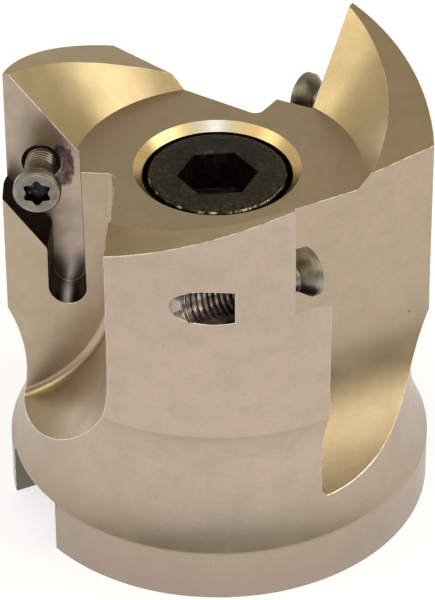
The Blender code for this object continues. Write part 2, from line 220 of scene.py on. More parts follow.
# ---- materials ----------------------------------------------------------------------------------
class Shader:
    """A node material round one Principled shader, with helpers to wire its texture."""

    def __init__(self, name, colour, roughness, metallic=1.0):
        self.material = bpy.data.materials.new(name)
        self.material.use_nodes = True
        self.tree = self.material.node_tree
        self.principled = self.tree.nodes["Principled BSDF"]
        self.principled.inputs["Metallic"].default_value = metallic
        self.principled.inputs["Roughness"].default_value = roughness
        self.principled.inputs["Base Color"].default_value = (*colour, 1.0)
        self.place = self.add("ShaderNodeTexCoord").outputs["Object"]

    def add(self, kind, **settings):
        node = self.tree.nodes.new(kind)
        for key, value in settings.items():
            setattr(node, key, value)
        return node

    def wire(self, output, socket):
        self.tree.links.new(output, socket)

    def noise(self, scale, detail=2.0, stretch=(1.0, 1.0, 1.0), roughness=0.5):
        """Noise of about scale cells per metre, finer along the axes that stretch makes larger."""
        mapping = self.add("ShaderNodeMapping")
        mapping.inputs["Scale"].default_value = stretch
        self.wire(self.place, mapping.inputs["Vector"])
        node = self.add("ShaderNodeTexNoise")
        node.inputs["Scale"].default_value = scale
        node.inputs["Detail"].default_value = detail
        node.inputs["Roughness"].default_value = roughness
        self.wire(mapping.outputs["Vector"], node.inputs["Vector"])
        return node.outputs["Fac"]

    def rings(self, scale, distortion=0.5):
        """Waves round the Z axis, as turning leaves them."""
        node = self.add("ShaderNodeTexWave", wave_type="RINGS", rings_direction="Z")
        node.inputs["Scale"].default_value = scale
        node.inputs["Distortion"].default_value = distortion
        node.inputs["Detail"].default_value = 2.0
        self.wire(self.place, node.inputs["Vector"])
        return node.outputs["Fac"]

    def spread(self, value, low, high, start=0.3, end=0.7):
        """Maps start to end onto low to high, and holds low and high beyond them."""
        node = self.add("ShaderNodeMapRange")
        node.inputs["From Min"].default_value = start
        node.inputs["From Max"].default_value = end
        node.inputs["To Min"].default_value = low
        node.inputs["To Max"].default_value = high
        self.wire(value, node.inputs["Value"])
        return node.outputs["Result"]

    def blend(self, factor, first, second):
        """first where the factor is 0, second where it is 1; each is a socket or an RGB tuple."""
        node = self.add("ShaderNodeMix", data_type="RGBA")
        for socket, value in ((node.inputs[MIX_FIRST], first), (node.inputs[MIX_SECOND], second)):
            if isinstance(value, tuple):
                socket.default_value = (*value, 1.0)
            else:
                self.wire(value, socket)
        self.wire(factor, node.inputs[MIX_FACTOR])
        return node.outputs[MIX_RESULT]

    def maths(self, operation, first, second):
        node = self.add("ShaderNodeMath", operation=operation)
        self.wire(first, node.inputs[0])
        self.wire(second, node.inputs[1])
        return node.outputs[0]

    def patch(self, centre, squash, inner, outer, ragged=None):
        """1 inside a soft-edged blob about a point in metres, 0 outside."""
        offset = self.add("ShaderNodeVectorMath", operation="SUBTRACT")
        self.wire(self.place, offset.inputs[0])
        offset.inputs[1].default_value = centre
        scaled = self.add("ShaderNodeVectorMath", operation="MULTIPLY")
        self.wire(offset.outputs["Vector"], scaled.inputs[0])
        scaled.inputs[1].default_value = squash
        length = self.add("ShaderNodeVectorMath", operation="LENGTH")
        self.wire(scaled.outputs["Vector"], length.inputs[0])
        reach = length.outputs["Value"]
        if ragged is not None:
            reach = self.maths("ADD", reach, ragged)
        return self.spread(reach, 1.0, 0.0, inner, outer)

    def colour(self, value):
        self.wire(value, self.principled.inputs["Base Color"])

    def rough(self, value):
        self.wire(value, self.principled.inputs["Roughness"])

    def bump(self, heights):
        """heights: (value, depth in millimetres) pairs, stacked one over another."""
        normal = None
        for height, depth in heights:
            node = self.add("ShaderNodeBump")
            node.inputs["Strength"].default_value = 1.0
            node.inputs["Distance"].default_value = depth * MM
            self.wire(height, node.inputs["Height"])
            if normal is not None:
                self.wire(normal, node.inputs["Normal"])
            normal = node.outputs["Normal"]
        self.wire(normal, self.principled.inputs["Normal"])


def shade(colour, factor):
    return tuple(channel * factor for channel in colour)


def tooth_point(point):
    """A point in millimetres of the first tooth's frame, as metres in the mill's frame."""
    return tooth_frame(0) @ Vector([value * MM for value in point])


def plated_metal(name, colour, roughness, grain=BLAST_GRAIN, marks=None, foot=False):
    """Satin nickel: fine blasted grain, slow colour drift, and faint tool marks if given."""
    metal = Shader(name, colour, roughness)
    drift = metal.noise(60.0, 3.0)
    speck = metal.noise(2600.0, 3.0, roughness=0.65)
    tone = metal.blend(metal.spread(drift, 0.0, 1.0), shade(colour, 0.97), shade(colour, 1.09))
    mottle = metal.spread(metal.noise(330.0, 4.0, roughness=0.65), 0.0, 0.55, 0.42, 0.68)
    tone = metal.blend(mottle, tone, shade(colour, 0.86))
    dust = metal.spread(metal.noise(520.0, 2.0, roughness=0.8), 0.0, 0.75, 0.74, 0.80)
    tone = metal.blend(metal.spread(speck, 0.0, 0.26), tone, shade(colour, 0.72))
    tone = metal.blend(dust, tone, shade(colour, 0.30))
    # painted shade towards the foot, and a painted dark reflection on the neck's front
    if foot:
        tone = add_foot_shade(metal, tone)
    metal.colour(tone)
    metal.rough(metal.spread(metal.noise(240.0, 4.0), roughness - 0.045, roughness + 0.055))
    heights = [(metal.noise(3800.0, 2.0), grain)]
    if marks:
        heights.append((marks(metal), TOOL_MARKS))
    metal.bump(heights)
    return metal.material


def add_foot_shade(metal, colour):
    """Darkens a colour socket towards the foot of the body: painted shade. Adds a painted dark
    reflection, speckled and grey, on its front.
    """
    split = metal.add("ShaderNodeSeparateXYZ")
    metal.wire(metal.place, split.inputs[0])
    # painted shade: darker towards the foot
    depth = metal.spread(split.outputs["Z"], 0.60, 0.0, *FOOT_SHADE_HEIGHTS)
    colour = metal.blend(depth, colour, shade(NICKEL, 0.62))
    # painted dark reflection on the front of the lower neck, speckled
    near = metal.patch(FOOT_DARK_REFLECTION, (0.34, 0.6, 1.45), 0.0004, 0.0046)
    speck = metal.spread(metal.noise(1300.0, 4.0, roughness=0.75), 0.40, 1.0, 0.34, 0.66)
    return metal.blend(metal.maths("MULTIPLY", near, speck), colour, (0.33, 0.29, 0.245))


def seat_metal():
    """Ground pocket seat: mottled, with a painted shadow of the insert screw beside its hole,
    painted shade in the slot's corners and a painted reflection between them."""
    seat = Shader("ground_seat", shade(NICKEL, 0.84), 0.34)
    mottle = seat.spread(seat.noise(420.0, 4.0), 0.0, 1.0, 0.35, 0.68)
    tone = seat.blend(mottle, shade(NICKEL, 0.92), shade(NICKEL, 0.74))
    # painted shade in the slot's two corners
    for place in SLOT_SHADOWS:
        shadow = seat.patch(tooth_point(place), (1.0, 1.0, 0.42), 0.1 * MM, 1.35 * MM)
        tone = seat.blend(shadow, tone, (0.15, 0.12, 0.125))
    # painted reflection of the slot's rounded end, lighter between the corner shades
    slot_sheen = seat.patch(tooth_point(SLOT_SHEEN), (1.0, 1.0, 0.35), 0.1 * MM, 1.0 * MM)
    tone = seat.blend(slot_sheen, tone, (0.46, 0.44, 0.47))
    # painted shadow of the insert screw beside its hole, grainy with a ragged edge
    grain = seat.spread(seat.noise(1500.0, 3.0, roughness=0.75), 0.0, 1.0, 0.38, 0.62)
    blotch = seat.blend(grain, (0.065, 0.042, 0.043), (0.16, 0.115, 0.11))
    ragged = seat.spread(seat.noise(900.0, 3.0), -0.00022, 0.00022)
    inside = seat.patch(tooth_point(SEAT_SCREW_SHADOW), (1.0, 1.0, 0.42), 1.15 * MM, 1.40 * MM, ragged)
    seat.colour(seat.blend(inside, tone, blotch))
    seat.rough(seat.spread(seat.noise(240.0, 4.0), 0.27, 0.40))
    seat.bump([(seat.noise(3800.0, 2.0), 0.004), (seat.noise(700.0, 3.0), 0.006)])
    return seat.material


def slot_metal():
    """Reamed slot: painted shade at its sides, and a painted highlight along the middle of the
    first tooth's rounded end.
    """
    slot = Shader("reamed_slot", (0.2, 0.175, 0.185), 0.2)
    streak = slot.spread(slot.noise(1400.0, 3.0, (1.0, 0.2, 1.0)), -0.00015, 0.00015)
    # painted highlight on the first tooth's slot; bluish, so the brown reflections read silver
    slot_highlight = slot.patch(tooth_point(SLOT_HIGHLIGHT), (1.0, 0.18, 0.30), 0.15 * MM, 0.95 * MM,
                           streak)
    slot.colour(slot.blend(slot_highlight, (0.19, 0.165, 0.175), (0.76, 0.80, 1.0)))
    slot.rough(slot.spread(slot.noise(240.0, 4.0), 0.17, 0.28))
    scratches = slot.noise(700.0, 2.0, (1.0, 1.0, 0.1))
    slot.bump([(slot.noise(3800.0, 2.0), 0.002), (scratches, 0.0015)])
    return slot.material


def turned_chamfer():
    """Turned gold-toned chamfer, with a painted silver highlight on its back."""
    gold, silver = (0.76, 0.58, 0.36), (0.60, 0.585, 0.63)
    metal = Shader("turned_chamfer", gold, 0.25)
    # painted highlight: silver on the chamfer's back, where the front softbox is mirrored
    streak = metal.spread(metal.noise(1500.0, 3.0, (1.0, 0.3, 1.0)), -0.0012, 0.0012)
    rubbed = metal.patch(CHAMFER_HIGHLIGHT, (1.0, 1.0, 1.0), 0.0012, 0.0038, streak)
    metal.colour(metal.blend(rubbed, gold, silver))
    metal.rough(metal.spread(metal.noise(240.0, 4.0), 0.22, 0.31))
    metal.bump([(metal.noise(3800.0, 2.0), 0.002), (metal.rings(900.0), 0.0008)])
    return metal.material


def tapped_metal():
    """Bare cut thread: dark, painted shade inside the hole, with painted glints in patches."""
    metal = Shader("tapped_hole", (0.20, 0.18, 0.17), 0.3)
    # painted glints in patches, over a dark base that paints the hole's shade
    thread_glints = metal.spread(metal.noise(620.0, 5.0, (1.0, 1.0, 0.6), 0.75), 0.0, 1.0, 0.44, 0.64)
    metal.colour(metal.blend(thread_glints, (0.19, 0.162, 0.165), (0.50, 0.44, 0.41)))
    metal.rough(metal.spread(metal.noise(1500.0, 2.0), 0.20, 0.42))
    metal.bump([(metal.noise(1500.0, 3.0), 0.05)])
    return metal.material


def edge_wear_and_highlight():
    """Broken edge: bare bright metal in patches, plated between them. The bright patches are wear
    and also painted edge highlights.
    """
    edge = Shader("edge_wear_and_highlight", NICKEL, 0.26)
    # bright patches: edge wear, and also painted edge highlights
    wear = edge.spread(edge.noise(650.0, 4.0, roughness=0.7), 0.0, 1.0, 0.38, 0.54)
    edge.colour(edge.blend(wear, NICKEL, (0.93, 0.88, 0.80)))
    edge.rough(edge.spread(edge.noise(900.0, 3.0), 0.16, 0.34))
    edge.bump([(edge.noise(2600.0, 3.0), 0.004)])
    return edge.material


def body_materials():
    """One material for each of the body's slots, in their order."""
    def turned(metal):
        return metal.rings(420.0)

    def swept(metal):
        return metal.noise(900.0, 2.0, (0.12, 1.0, 1.0))

    return [
        plated_metal("satin_nickel", NICKEL, 0.36, foot=True),
        plated_metal("faced_nickel", shade(NICKEL, 0.98), 0.33, FINE_GRAIN, turned),
        plated_metal("milled_nickel", (0.450, 0.360, 0.270), 0.34, FINE_GRAIN, swept),
        seat_metal(),
        turned_chamfer(),
        # half as bright as the plating: painted shade inside the bores
        plated_metal("bored_nickel", shade(NICKEL, 0.5), 0.42),
        edge_wear_and_highlight(),
        # near black: painted shade on the pocket's walls and the counterbore's wall
        plated_metal("dark_wall", (0.085, 0.072, 0.062), 0.40),
        slot_metal(),
        # darker: painted shade inside the keyway
        plated_metal("keyway_nickel", (0.20, 0.175, 0.135), 0.42),
        tapped_metal(),
        plated_metal("dished_nickel", (0.525, 0.42, 0.285), 0.33, FINE_GRAIN, turned),
    ]


# ---- mesh helpers -------------------------------------------------------------------------------
def arc(centre_x, centre_y, radius, start, end, steps):
    """Points of an arc, both ends included; angles in degrees from +X towards +Y."""
    angles = [math.radians(start + (end - start) * step / steps) for step in range(steps + 1)]
    return [(centre_x + radius * math.cos(a), centre_y + radius * math.sin(a)) for a in angles]


def new_object(name, mesh, matrix=None):
    item = bpy.data.objects.new(name, mesh)
    bpy.context.scene.collection.objects.link(item)
    if matrix is not None:
        item.matrix_world = matrix
    return item


def mesh_from(name, shape, materials=()):
    """Turns a closed bmesh into a mesh with its faces outwards, and frees it."""
    bmesh.ops.recalc_face_normals(shape, faces=shape.faces)
    mesh = bpy.data.meshes.new(name)
    shape.to_mesh(mesh)
    shape.free()
    for material in materials:
        mesh.materials.append(material)
    return mesh


def loft(name, outlines, materials=(), index=0, kinds=None):
    """A closed solid through equal-sized outlines of (x, y, z) millimetre points.
    Its ends carry material slot index, and so do its sides unless kinds gives each side's."""
    shape = bmesh.new()
    rings = [[shape.verts.new(Vector(point) * MM) for point in outline] for outline in outlines]
    shape.faces.new(rings[0]).material_index = index
    shape.faces.new(reversed(rings[-1])).material_index = index
    count = len(rings[0])
    for near, far in zip(rings, rings[1:]):
        for step in range(count):
            after = (step + 1) % count
            face = shape.faces.new((near[step], far[step], far[after], near[after]))
            face.material_index = kinds[step] if kinds else index
    return mesh_from(name, shape, materials)


def lathe(name, profile, steps, closed=False, kinds=None, materials=(), swell=None):
    """Turns (radius, height) points about Z. kinds gives each band's material slot.
    swell(height, turn) is added to the radius, where turn runs from 0 to 1 round the axis."""
    shape = bmesh.new()
    rings = []
    for radius, height in profile:
        if radius == 0.0:
            rings.append([shape.verts.new((0.0, 0.0, height * MM))])
            continue
        ring = []
        for step in range(steps):
            angle = 2 * math.pi * step / steps
            reach = (radius + (swell(height, step / steps) if swell else 0.0)) * MM
            point = (reach * math.cos(angle), reach * math.sin(angle), height * MM)
            ring.append(shape.verts.new(point))
        rings.append(ring)
    pairs = list(zip(rings, rings[1:]))
    if closed:
        pairs.append((rings[-1], rings[0]))
    for band, (first, second) in enumerate(pairs):
        for step in range(steps):
            after = (step + 1) % steps
            corners = [first[step % len(first)], second[step % len(second)],
                       second[after % len(second)], first[after % len(first)]]
            face = shape.faces.new(list(dict.fromkeys(corners)))
            face.material_index = kinds[band] if kinds else 0
            face.smooth = True
    return mesh_from(name, shape, materials)


def cut(solid, mesh, matrix=None):
    """Takes one closed mesh away from a solid, at once."""
    cutter = new_object("cutter", mesh, matrix)
    boolean = solid.modifiers.new("Cut", "BOOLEAN")
    boolean.operation = "DIFFERENCE"
    boolean.solver = "MANIFOLD"
    boolean.object = cutter
    apply_modifiers(solid)
    bpy.data.objects.remove(cutter)


def apply_modifiers(solid):
    """Swaps an object's mesh for the one its modifiers make."""
    graph = bpy.context.evaluated_depsgraph_get()
    mesh = bpy.data.meshes.new_from_object(solid.evaluated_get(graph), depsgraph=graph)
    solid.modifiers.clear()
    old = solid.data
    solid.data = mesh
    bpy.data.meshes.remove(old)


def break_edges(solid, width, method):
    """A small bevel, to be applied later; its limit is by edge weight or by angle."""
    bevel = solid.modifiers.new("Broken edges", "BEVEL")
    bevel.width = width * MM
    bevel.segments = 2
    bevel.limit_method = method
    bevel.use_clamp_overlap = False
    return bevel


def smooth(solid, angle):
    """Smooth shading up to an angle in degrees, with normals weighted by face area."""
    mesh = solid.data
    mesh.shade_smooth()
    mesh.set_sharp_from_angle(angle=math.radians(angle))
    weighted = solid.modifiers.new("Weighted normals", "WEIGHTED_NORMAL")
    weighted.keep_sharp = True
    weighted.weight = 50


def thread_wave(height, turn, pitch):
    """0 at a thread's root to 1 at its crest, for a right-hand thread."""
    phase = (height / pitch - turn) % 1.0
    return max(0.0, min(1.0, THREAD_FLANK / 2 - THREAD_FLANK * abs(phase - 0.5)))


def thread_rows(radius, start, end, spacing):
    """Profile rows close enough together for a swell to shape a thread on them."""
    count = int((end - start) / spacing)
    return [(radius, -start - (end - start) * step / count) for step in range(count + 1)]


def screw_thread(start, end, fading, depth, pitch):
    """A swell for lathe: a thread between two depths below the origin, fading out at both."""
    def swell(height, turn):
        fade = min(1.0, (-height - start) / fading, (end + height) / fading)
        if fade <= 0.0:
            return 0.0
        return depth * fade * thread_wave(height, turn, pitch)

    return swell


def tooth_frame(index):
    """A tooth's frame: X outwards along its cutting edge, Y the way it cuts, Z up."""
    azimuth = FIRST_TOOTH_AZIMUTH - index * 360.0 / len(TOOTH_NAMES)
    return Matrix.Rotation(math.radians(azimuth), 4, "Z")


def frame_along(point, direction):
    """A frame at a point in millimetres, with its Z along a direction."""
    turn = Vector(direction).to_track_quat("Z", "X").to_matrix().to_4x4()
    return Matrix.Translation(Vector(point) * MM) @ turn


# ---- the body -----------------------------------------------------------------------------------
def blank_profile():
    """(radius, height, slot of the band that starts there), down the outside and up the inside."""
    centre_radius = NECK_RADIUS + NECK_ARC_RADIUS
    upper = math.degrees(math.acos((centre_radius - LAND_RADIUS) / NECK_ARC_RADIUS))
    lower = math.degrees(math.acos((centre_radius - FLANGE_RADIUS) / NECK_ARC_RADIUS))
    neck_height = LAND_BOTTOM - NECK_ARC_RADIUS * math.sin(math.radians(upper))
    rim_height = FLOOR_HEIGHT + DISH_SLOPE * (LAND_RADIUS - FLOOR_RADIUS)
    neck = arc(centre_radius, neck_height, NECK_ARC_RADIUS, 180 - upper, 180 + lower, NECK_STEPS)
    return [
        (LAND_RADIUS, rim_height, PLATED),
        *[(radius, height, PLATED) for radius, height in neck],
        (FLANGE_RADIUS, FLANGE_CHAMFER, EDGE),
        (FLANGE_RADIUS - FLANGE_CHAMFER, 0.0, FACED),
        (PILOT_RADIUS + PILOT_CHAMFER, 0.0, BRIGHT),
        (PILOT_RADIUS, PILOT_CHAMFER, BORED),
        (PILOT_RADIUS, PILOT_DEPTH, BORED),
        (SCREW_WAY_RADIUS, PILOT_DEPTH, BORED),
        (SCREW_WAY_RADIUS, SHOULDER_HEIGHT, BORED),
        (COUNTERBORE_RADIUS, SHOULDER_HEIGHT, WALL),
        (COUNTERBORE_RADIUS, FLOOR_HEIGHT - COUNTERBORE_CHAMFER_DEPTH, BRIGHT),
        (COUNTERBORE_MOUTH_RADIUS, FLOOR_HEIGHT, FACED),
        (FLOOR_RADIUS, FLOOR_HEIGHT, DISHED),
    ]


def relief_cutter(materials):
    """Everything above the sloping top of one tooth, over that tooth's share of the rim."""
    base = TIP_HEIGHT - RELIEF_SIDE_SLOPE * LAND_RADIUS - RELIEF_BACK_SLOPE * SEAT_PLANE
    outline = arc(0.0, 0.0, LAND_RADIUS + OVERCUT, RELIEF_END, RELIEF_START, RELIEF_STEPS)
    outline += arc(0.0, 0.0, RELIEF_INNER_RADIUS, RELIEF_START, RELIEF_END, RELIEF_STEPS)
    slope = [(x, y, base + RELIEF_SIDE_SLOPE * x + RELIEF_BACK_SLOPE * y) for x, y in outline]
    above = [(x, y, z + OVERCUT * 2) for x, y, z in slope]
    return loft("relief", [slope, above], materials, MILLED)


def gullet_outline(inset):
    """The gullet's section as (outwards, up) points, shrunk by an inset."""
    outer = LAND_RADIUS + OVERCUT
    top = TIP_HEIGHT + OVERCUT
    centre = GULLET_WALL + GULLET_FLARE_RADIUS
    outline = [(outer, top), (GULLET_WALL + inset, top)]
    outline += arc(centre, GULLET_FLARE_TOP, GULLET_FLARE_RADIUS - inset, 180, 270, FLARE_STEPS)
    return outline + [(outer, GULLET_FLARE_TOP - GULLET_FLARE_RADIUS + inset)]


def gullet_cutter(materials):
    """The chip space ahead of a tooth: its wall flares out at the foot, and its end is filleted."""
    lean = -math.tan(math.radians(GULLET_WALL_TURN))
    slices = [(LEAD_PLANE + LAND_RADIUS + OVERCUT, 0.0)]
    for corner in range(FILLET_STEPS + 1):
        angle = math.radians(corner * 90 / FILLET_STEPS)
        ahead = LEAD_PLANE + GULLET_FILLET * (1 - math.sin(angle))
        slices.append((ahead, GULLET_FILLET * (1 - math.cos(angle))))
    outlines = []
    for ahead, inset in slices:
        shift = lean * (ahead - LEAD_PLANE)
        outlines.append([(out + shift, ahead, up) for out, up in gullet_outline(inset)])
    return loft("gullet", outlines, materials, MILLED)


def pocket_outline(wall, slot_width, foot, slope):
    """Seat wall, round-ended relief slot for the sharp corner, then the sloping outer wall.
    The rounding at that wall's foot is the same at the seat as at the mouth."""
    outer = LAND_RADIUS + OVERCUT
    top = TIP_HEIGHT + OVERCUT
    half = slot_width / 2
    slot_side = wall + slot_width
    outline = [(wall + POCKET_WALL_LEAN, top)]
    outline += arc(wall + half, SLOT_FLOOR + half, half, 180, 360, SLOT_STEPS)
    bend = 90 - math.degrees(math.atan(POCKET_MOUTH_SLOPE))
    reach = POCKET_CORNER * math.tan(math.radians(bend / 2))
    outline += arc(slot_side + POCKET_CORNER, foot - reach, POCKET_CORNER, 180, 180 - bend,
                   CORNER_STEPS)
    return outline + [(outer, foot + slope * (outer - slot_side)), (outer, top)]


def pocket_cutter(materials):
    """The insert pocket: its walls open out from the seat to the tooth's leading face."""
    seat = pocket_outline(POCKET_SEAT_WALL, SLOT_SEAT_WIDTH, POCKET_SEAT_FOOT, POCKET_SEAT_SLOPE)
    mouth = pocket_outline(POCKET_MOUTH_WALL, SLOT_MOUTH_WIDTH, POCKET_MOUTH_FOOT,
                           POCKET_MOUTH_SLOPE)
    beyond = 1.2  # the cutter's length, in distances from the seat to the leading face
    near = [(x, SEAT_PLANE, z) for x, z in seat]
    far = []
    for (seat_x, seat_z), (mouth_x, mouth_z) in zip(seat, mouth):
        x = seat_x + (mouth_x - seat_x) * beyond
        z = seat_z + (mouth_z - seat_z) * beyond
        far.append((x, SEAT_PLANE + (LEAD_PLANE - SEAT_PLANE) * beyond, z))
    kinds = [WALL] + [SLOT] * SLOT_STEPS + [WALL] * (len(seat) - SLOT_STEPS - 1)
    return loft("pocket", [near, far], materials, SEAT, kinds)


def screw_frame(standout):
    """Frame of an insert screw in its tooth, on its axis and standout millimetres off the seat."""
    tilt = math.radians(SCREW_TILT)
    direction = Vector((-math.sin(tilt), math.cos(tilt), 0.0))
    seat = Vector((SCREW_SEAT_RADIUS, SEAT_PLANE, SCREW_HEIGHT))
    return frame_along(seat + direction * standout, direction)


def screw_hole_cutter(materials):
    """Countersunk, tapped and pointed; its thread is the grooves that stand out of the cutter."""
    start = SCREW_HOLE_MOUTH_DEPTH + HOLE_THREAD_LEAD_IN
    end = SCREW_HOLE_DEPTH - HOLE_THREAD_RUN_OUT
    rows = [(0.0, OVERCUT), (SCREW_HOLE_MOUTH_RADIUS, OVERCUT), (SCREW_HOLE_MOUTH_RADIUS, 0.0)]
    rows += [(SCREW_HOLE_RADIUS, -SCREW_HOLE_MOUTH_DEPTH)]
    rows += thread_rows(SCREW_HOLE_RADIUS, start, end, HOLE_ROW_SPACING)
    rows += [(SCREW_HOLE_RADIUS, -SCREW_HOLE_DEPTH), (0.0, -SCREW_HOLE_DEPTH - SCREW_HOLE_TIP)]

    def swell(height, turn):
        if -end < height < -start:
            return -HOLE_THREAD_DEPTH * thread_wave(height, turn, HOLE_THREAD_PITCH)
        return 0.0

    kinds = [THREADED] * (len(rows) - 1)
    return lathe("screw_hole", rows, HOLE_STEPS, kinds=kinds, materials=materials, swell=swell)


def relief_hole_frame():
    """Frame of the drilled window in a tooth's back, with its floor inside the tooth."""
    tilt = math.radians(RELIEF_HOLE_TILT)
    floor_centre = (RELIEF_HOLE_OFFSET, RELIEF_HOLE_FLOOR, RELIEF_HOLE_HEIGHT)
    return frame_along(floor_centre, (-math.sin(tilt), -math.cos(tilt), 0.0))


def mark_edges(body):
    """Weights the edges to break: the slot's rim, the teeth's top edges and other corners."""
    shape = bmesh.new()
    shape.from_mesh(body.data)
    layer = shape.edges.layers.float.new("bevel_weight_edge")
    for edge in shape.edges:
        if len(edge.link_faces) != 2:
            continue
        kinds = {face.material_index for face in edge.link_faces}
        bend = math.degrees(edge.calc_face_angle_signed(0.0))
        if kinds == {SEAT, SLOT} and bend < SLOT_RIM_BEND:
            edge[layer] = SLOT_RIM_WEIGHT
        elif bend > CORNER_BEND and WALL not in kinds and kinds != {SEAT, PLATED}:
            slants = [abs(face.normal.z) for face in edge.link_faces]
            topmost = max(slants) > TOP_FACE and min(slants) < SIDE_FACE
            edge[layer] = TOP_WEIGHT if topmost else CORNER_WEIGHT
    shape.to_mesh(body.data)
    shape.free()


def cut_tooth(body, materials, tooth):
    """Shapes one tooth: its sloping top, gullet, pocket, screw hole and the window behind."""
    cut(body, relief_cutter(materials), tooth)
    cut(body, gullet_cutter(materials), tooth)
    cut(body, pocket_cutter(materials), tooth)
    cut(body, screw_hole_cutter(materials), tooth @ screw_frame(0.0))
    window = [(0.0, 0.0), (RELIEF_HOLE_RADIUS, 0.0), (RELIEF_HOLE_RADIUS, LAND_RADIUS),
              (0.0, LAND_RADIUS)]
    relief_hole = lathe("relief_hole", window, WINDOW_STEPS, kinds=[THREADED] * 3,
                        materials=materials)
    cut(body, relief_hole, tooth @ relief_hole_frame())


def cut_keyway(body, materials):
    """The drive slot, straight across the back face."""
    half = KEYWAY_WIDTH / 2
    reach = FLANGE_RADIUS * 1.5
    corners = [(-reach, -half), (reach, -half), (reach, half), (-reach, half)]
    ends = [[(x, y, z) for x, y in corners] for z in (-KEYWAY_DEPTH, KEYWAY_DEPTH)]
    turn = Matrix.Rotation(math.radians(KEYWAY_AZIMUTH), 4, "Z")
    cut(body, loft("keyway", ends, materials, KEYED), turn)


def make_body():
    materials = body_materials()
    points = blank_profile()
    profile = [(radius, height) for radius, height, _ in points]
    kinds = [kind for _, _, kind in points]
    blank = lathe("fine_body", profile, BODY_STEPS, True, kinds, materials)
    body = new_object("fine_body", blank)
    for index in range(len(TOOTH_NAMES)):
        cut_tooth(body, materials, tooth_frame(index))
    cut_keyway(body, materials)
    weld = body.modifiers.new("Weld", "WELD")
    weld.merge_threshold = WELD_DISTANCE * MM
    apply_modifiers(body)
    mark_edges(body)
    break_edges(body, EDGE_BREAK, "WEIGHT").material = EDGE
    apply_modifiers(body)
    for vertex in body.data.vertices:
        vertex.co.z = max(vertex.co.z, 0.0)
    smooth(body, BODY_SHARP_ANGLE)
    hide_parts("mill_body")
    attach(body, "mill")


# ---- insert screws ------------------------------------------------------------------------------
def screw_steel():
    steel = Shader("screw_steel", (0.28, 0.255, 0.225), 0.36)
    blotch = steel.spread(steel.noise(700.0, 3.0), 0.0, 1.0)
    steel.colour(steel.blend(blotch, (0.21, 0.19, 0.17), (0.37, 0.345, 0.325)))
    steel.rough(steel.spread(steel.noise(1500.0, 3.0), 0.30, 0.46))
    steel.bump([(steel.noise(5200.0, 2.0), 0.003), (steel.noise(900.0, 3.0), 0.006)])
    return steel.material


def head_steel():
    """The flat of a head: dull brown-grey, handled and stained."""
    dull = Shader("dull_head", (0.2, 0.175, 0.15), 0.44)
    blotch = dull.spread(dull.noise(520.0, 4.0, roughness=0.65), 0.0, 1.0, 0.35, 0.65)
    dull.colour(dull.blend(blotch, (0.18, 0.157, 0.132), (0.30, 0.27, 0.235)))
    dull.rough(dull.spread(dull.noise(1500.0, 3.0), 0.36, 0.52))
    dull.bump([(dull.noise(2600.0, 3.0), 0.005)])
    return dull.material


def socket_black():
    """Drive socket: near black, painted shade inside it, with a few painted glints."""
    black = Shader("socket_black", (0.02, 0.02, 0.022), 0.35)
    # painted glints in a few spots over the near-black painted shade
    glint = black.spread(black.noise(2100.0, 3.0, roughness=0.7), 0.0, 1.0, 0.60, 0.70)
    black.colour(black.blend(glint, (0.028, 0.030, 0.034), (0.30, 0.30, 0.31)))
    black.rough(black.spread(black.noise(1300.0, 2.0), 0.28, 0.50))
    black.bump([(black.noise(2400.0, 3.0), 0.02)])
    return black.material


def insert_screw_profile(end):
    """Head, waisted neck and thread; fine rows along the thread carry its helix."""
    head, corner, shank = SCREW_HEAD_RADIUS, SCREW_HEAD_ROUNDING, SCREW_SHANK_RADIUS
    rows = [(0.0, 0.0), (1.0, 0.0), (head - 0.45, 0.0)]
    rows += arc(head - corner, -corner, corner, 90, 0, 6)
    rows += [(head, -1.0), (head - 0.05, -1.1), (shank + 0.14, -2.35), (shank, -2.45)]
    rows += [(shank, -2.5), (shank + 0.06, -2.6), (shank + 0.06, -2.75), (shank, -2.85)]
    rows += [(shank, -4.2)]
    rows += thread_rows(shank, SCREW_THREAD_START, end, SCREW_ROW_SPACING)
    return rows + [(1.15, -SCREW_LENGTH), (0.0, -SCREW_LENGTH)]


def star_outline():
    """The drive socket's section: round lobes and narrower valleys."""
    points = []
    for step in range(STAR_POINTS):
        angle = 2 * math.pi * step / STAR_POINTS
        wave = (1 - math.cos(STAR_LOBES * angle)) / 2
        radius = STAR_RADIUS * (1 - STAR_VALLEY * wave ** STAR_ROUNDNESS)
        points.append((radius * math.cos(angle), radius * math.sin(angle)))
    return points


def make_insert_screws():
    steel, black, dull = range(3)
    metals = [screw_steel(), socket_black(), head_steel()]
    end = SCREW_LENGTH - SCREW_END_CHAMFER
    rows = insert_screw_profile(end)
    kinds = [dull, dull] + [steel] * (len(rows) - 3)
    swell = screw_thread(SCREW_THREAD_START, end, SCREW_THREAD_FADE,
                         SCREW_THREAD_RADIUS - SCREW_SHANK_RADIUS, SCREW_THREAD_PITCH)
    star = [[(x * scale, y * scale, z) for x, y in star_outline()] for z, scale in STAR_LEVELS]
    for index, name in enumerate(TOOTH_NAMES):
        place = tooth_frame(index) @ screw_frame(SCREW_STANDOUT[name])
        mesh = lathe("threaded_screw_" + name, rows, SCREW_STEPS, kinds=kinds, materials=metals,
                     swell=swell)
        screw = new_object("threaded_screw_" + name, mesh, place)
        cut(screw, loft("star", star, metals, black), place)
        smooth(screw, SCREW_SHARP_ANGLE)
        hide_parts("insert_screw_" + name)
        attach(screw, "insert_screw_" + name)


